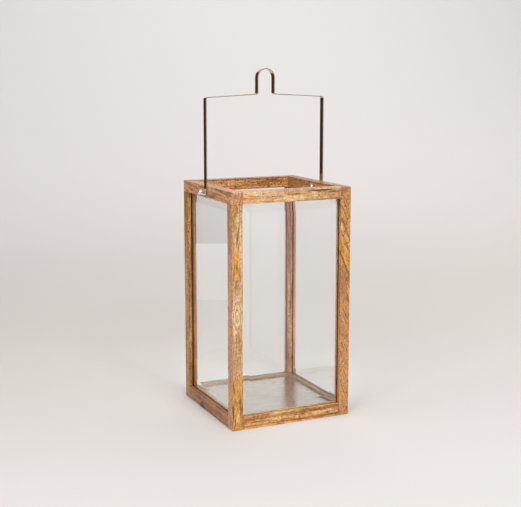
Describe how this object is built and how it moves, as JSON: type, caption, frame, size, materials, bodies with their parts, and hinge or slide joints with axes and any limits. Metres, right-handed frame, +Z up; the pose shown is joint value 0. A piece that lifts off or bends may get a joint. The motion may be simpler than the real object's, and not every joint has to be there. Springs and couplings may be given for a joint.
{
  "type": "hanging lantern",
  "caption": "Square open-top candle lantern: wooden post-and-rail frame, bevelled glass panes in grooves, steel floor plate, and a swinging flat-strap bail with a hanging loop.",
  "frame": {"origin": "middle of the footprint, on the surface the lantern stands on", "axes": "+Z up, +X to the right along the handle's crossbar, -Y towards the front pane"},
  "size_m": [0.2514, 0.22, 0.598],
  "materials": {
    "mango_wood": "satin lacquer",
    "bevelled_glass": "polished, clear",
    "floor_steel": "satin, fine scratches",
    "polished_steel": "polished nickel plate",
    "plated_hardware": "bright plated",
    "dowel_wood": "bare"
  },
  "bodies": {
    "frame": {"post_front_left": "mango_wood", "post_front_right": "mango_wood", "post_back_left": "mango_wood", "post_back_right": "mango_wood", "top_rail_left": "mango_wood", "top_rail_right": "mango_wood", "top_rail_front": "mango_wood", "top_rail_back": "mango_wood", "bottom_rail_front": "mango_wood", "bottom_rail_back": "mango_wood", "bottom_rail_left": "mango_wood", "bottom_rail_right": "mango_wood", "glass_front": "bevelled_glass", "glass_back": "bevelled_glass", "glass_left": "bevelled_glass", "glass_right": "bevelled_glass", "base_plate": "floor_steel", "pivot_bolt_left": "plated_hardware", "pivot_bolt_right": "plated_hardware", "washer_left": "plated_hardware", "washer_right": "plated_hardware", "cap_nut_left": "plated_hardware", "cap_nut_right": "plated_hardware", "bottom_rail_dowels": "dowel_wood", "top_rail_dowels": "dowel_wood", "post_dowels": "dowel_wood"},
    "handle": {"handle_strap": "polished_steel"}
  },
  "joints": [
    {"name": "handle_swing", "type": "hinge", "parent": "frame", "child": "handle", "pos_m": [0, 0, 0.39], "axis": [1, 0, 0], "range_deg": [-133, 133]}
  ]
}
